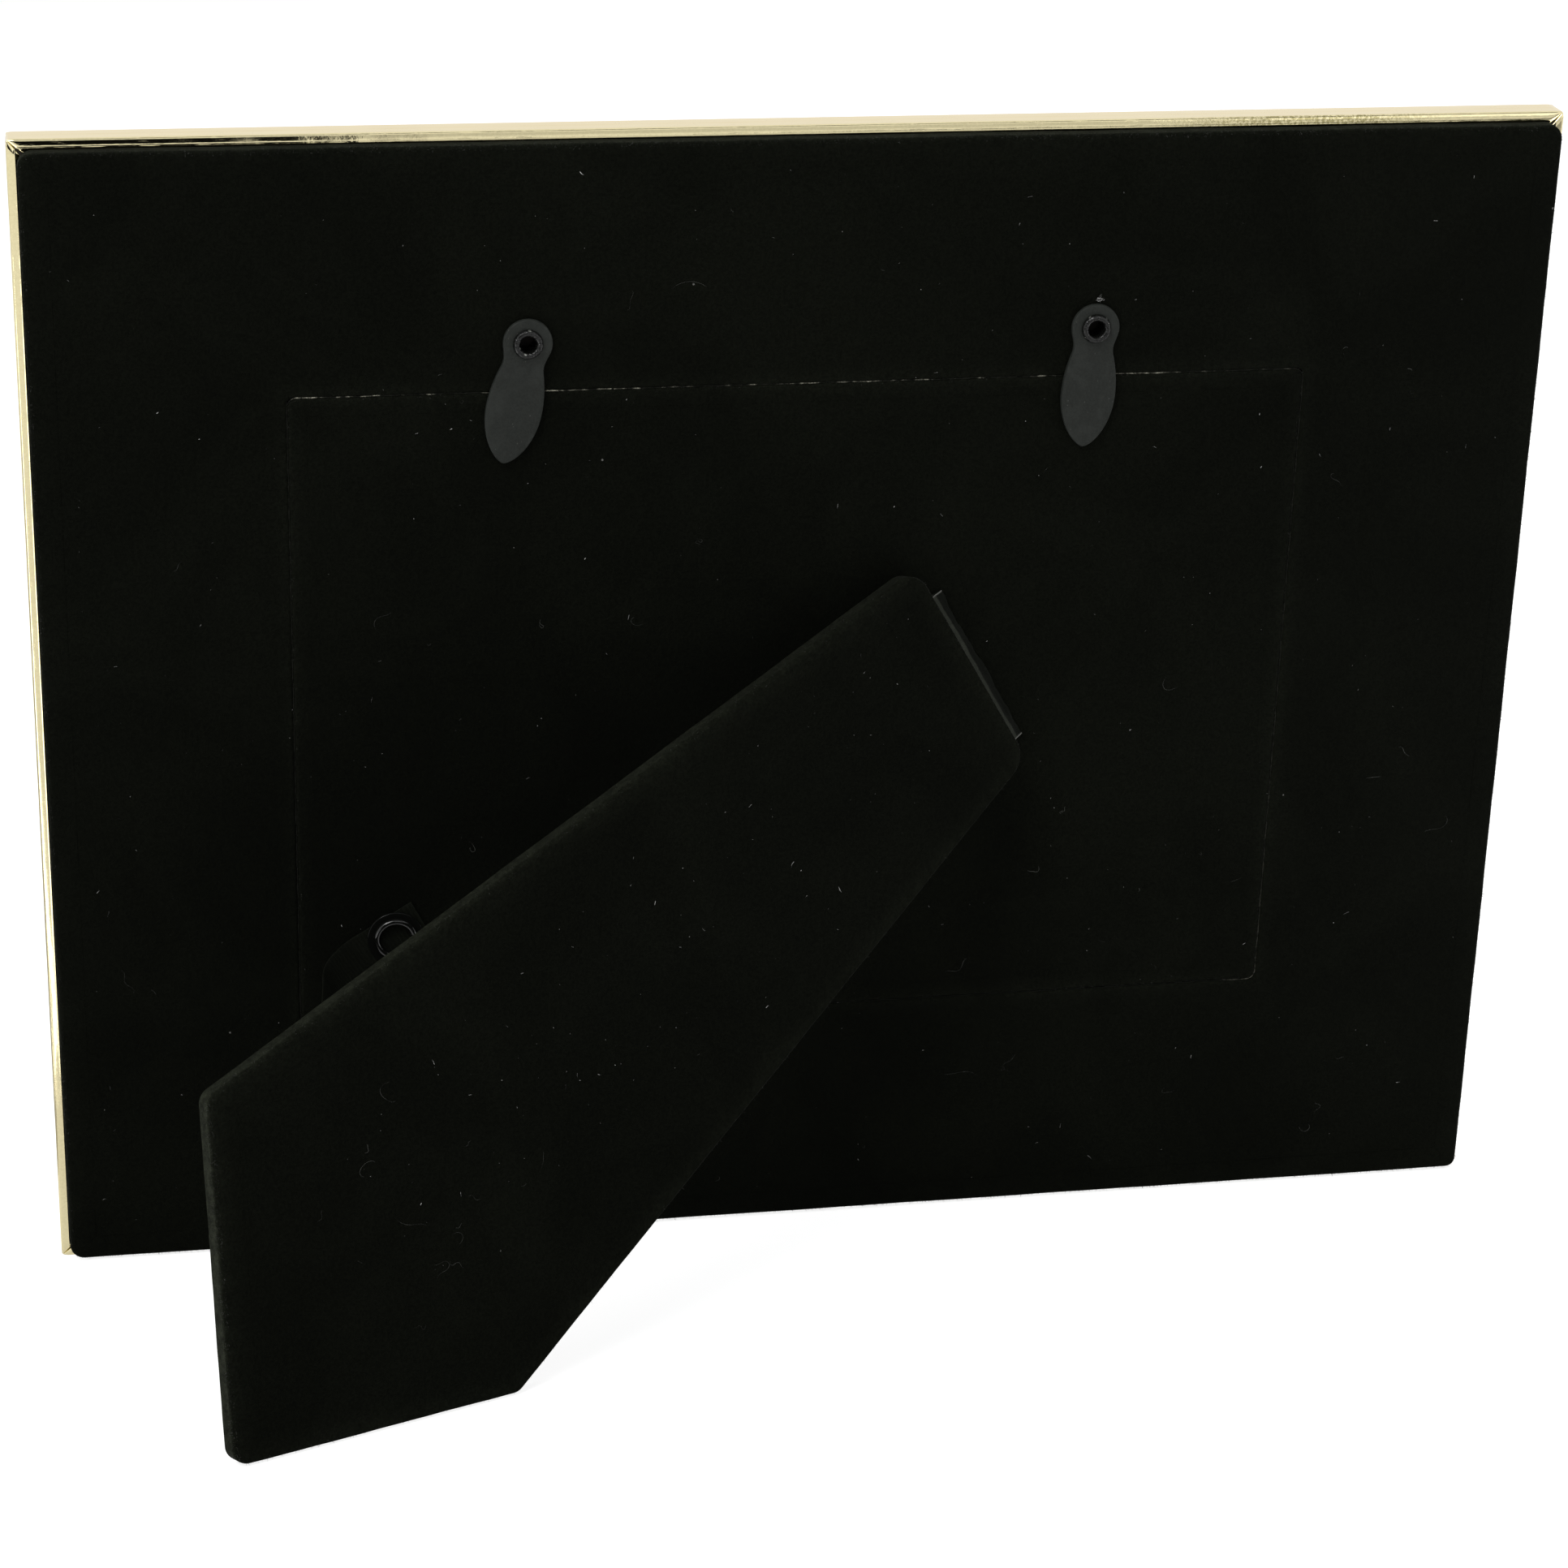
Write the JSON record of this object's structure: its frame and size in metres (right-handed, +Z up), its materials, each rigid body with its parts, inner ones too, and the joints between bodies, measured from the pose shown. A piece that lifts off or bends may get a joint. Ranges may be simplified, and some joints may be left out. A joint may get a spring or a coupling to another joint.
{
  "type": "photo frame",
  "caption": "Easel-back photo frame: mitred gold metal moulding with glass, a black velvet back with a door held by turn buttons, and a folding easel leg stayed by a ribbon.",
  "frame": {"origin": "on the floor, under the middle of the frame's width and half way from the front edge to the leg's tip", "axes": "+Z up, +X along the width, to the left as seen from behind, +Y out of the back, towards the leg"},
  "size_m": [0.2286, 0.0897, 0.1765],
  "materials": {
    "polished_gold": "polished, pale gold plated",
    "core_fibreboard": "raw fibreboard",
    "nail_steel": "bright",
    "clear_glass": "clear",
    "print_paper": "smooth, blank",
    "pad_card": "grey card",
    "black_board": "black faced fibreboard",
    "black_velvet": "short-pile velvet",
    "button_black": "matt",
    "eyelet_black": "gloss",
    "hinge_leatherette": "grained, slight sheen",
    "ribbon_black": "grosgrain"
  },
  "bodies": {
    "frame": {"rail_top": "polished_gold", "rail_right": "polished_gold", "rail_bottom": "polished_gold", "rail_left": "polished_gold", "core_top": "core_fibreboard", "core_right": "core_fibreboard", "core_bottom": "core_fibreboard", "core_left": "core_fibreboard", "corner_nails": "nail_steel", "glass": "clear_glass", "photo_print": "print_paper", "backing_pad": "pad_card", "back_board": "black_board", "back_velvet": "black_velvet", "door_board": "black_board", "door_velvet": "black_velvet", "door_tongues": "nail_steel", "eyelet_left": "eyelet_black", "eyelet_right": "eyelet_black", "hinge_tape": "hinge_leatherette", "stay_ribbon": "ribbon_black", "stay_eyelet": "eyelet_black"},
    "leg": {"leg_board": "black_board", "leg_velvet": "black_velvet"},
    "left_button": {"turn_button_left": "button_black"},
    "right_button": {"turn_button_right": "button_black"}
  },
  "joints": [
    {"name": "leg_hinge", "type": "hinge", "parent": "frame", "child": "leg", "pos_m": [-0.0264, -0.02267, 0.09461], "axis": [0.521, 0.1247, 0.8444], "range_deg": [-27, 0], "deforming": ["hinge_tape", "stay_ribbon"]},
    {"name": "left_button_turn", "type": "hinge", "parent": "frame", "child": "left_button", "pos_m": [0.0416, -0.01551, 0.14521], "axis": [0, 0.9893, -0.1461], "continuous": true},
    {"name": "right_button_turn", "type": "hinge", "parent": "frame", "child": "right_button", "pos_m": [-0.043, -0.01551, 0.14521], "axis": [0, 0.9893, -0.1461], "continuous": true}
  ]
}
